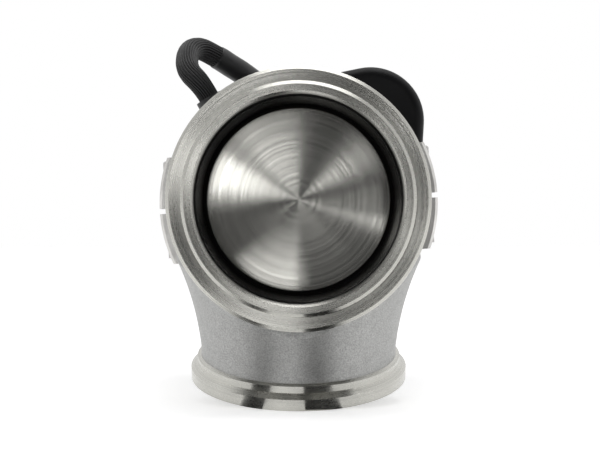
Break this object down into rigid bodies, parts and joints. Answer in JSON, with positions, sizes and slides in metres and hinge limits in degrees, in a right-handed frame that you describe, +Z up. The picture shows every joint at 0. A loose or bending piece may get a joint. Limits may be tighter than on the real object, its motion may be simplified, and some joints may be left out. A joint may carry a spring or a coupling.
{
  "type": "turbo wastegate",
  "caption": "External turbo wastegate: cast body with V-band inlet and outlet, poppet valve, and a clamped electric actuator with a gear-driven lead screw and a short looped lead.",
  "frame": {"origin": "centre of the inlet sealing face, on the valve axis", "axes": "+Y along the valve axis from the inlet to the actuator, +Z up away from the outlet"},
  "size_m": [0.1056, 0.1879, 0.1367],
  "materials": {
    "cast_stainless": "sand cast surface",
    "machined_stainless": "turned flanges",
    "turned_stainless": "turned",
    "seat_alloy": "turned",
    "guide_bronze": "turned",
    "gasket_fibre": "fibre sheet",
    "clamp_steel": "satin machined",
    "base_aluminium": "turned",
    "black_housing": "satin black moulding",
    "black_cover": "satin black moulding",
    "screw_steel": "black oxide",
    "gear_steel": "ground",
    "seal_rubber": "matt",
    "motor_zinc": "plated",
    "board_green": "solder resist",
    "lead_rubber": "ribbed sleeve",
    "shrink_black": "smooth",
    "connector_black": "black anodised"
  },
  "bodies": {
    "valve_body": {"valve_body": "cast_stainless", "inlet_flange": "machined_stainless", "outlet_flange": "machined_stainless", "valve_seat": "seat_alloy", "stem_guide": "guide_bronze", "insulating_gasket": "gasket_fibre", "actuator_base": "base_aluminium", "stem_seal": "seal_rubber", "clamp_upper": "clamp_steel", "clamp_lower": "clamp_steel", "clamp_bolts": "screw_steel", "clamp_nuts": "screw_steel", "actuator_housing": "black_housing", "cover_gasket": "seal_rubber", "rear_cover": "black_cover", "base_screws": "screw_steel", "cover_screws": "screw_steel", "front_bearing": "gear_steel", "rear_bearing": "gear_steel", "anti_rotation_sleeve": "guide_bronze", "motor_can": "motor_zinc", "sensor_board": "board_green", "cable_gland": "connector_black", "lead_sleeve": "lead_rubber", "heat_shrink": "shrink_black", "connector": "connector_black", "connector_bracket": "screw_steel", "bracket_screws": "screw_steel"},
    "valve": {"valve": "turned_stainless", "lead_screw": "gear_steel"},
    "nut_gear": {"nut_gear": "gear_steel"},
    "motor_rotor": {"motor_rotor": "gear_steel", "motor_pinion": "gear_steel", "sensor_magnet": "motor_zinc"}
  },
  "joints": [
    {"name": "nut_gear_turn", "type": "hinge", "parent": "valve_body", "child": "nut_gear", "pos_m": [0, 0.136, 0], "axis": [0, 1, 0], "range_deg": [0, 450]},
    {"name": "valve_lift", "type": "slide", "parent": "valve_body", "child": "valve", "axis": [0, 1, 0], "range_m": [0, 0.015]},
    {"name": "motor_spin", "type": "hinge", "parent": "valve_body", "child": "motor_rotor", "pos_m": [0.028, 0.136, 0.0324], "axis": [0, 1, 0], "range_deg": [-1929, 0]}
  ],
  "couplings": [
    {"joint": "valve_lift", "follows": "nut_gear_turn", "m_per_rad": 0.0019098},
    {"joint": "motor_spin", "follows": "nut_gear_turn", "ratio": -4.2857}
  ]
}
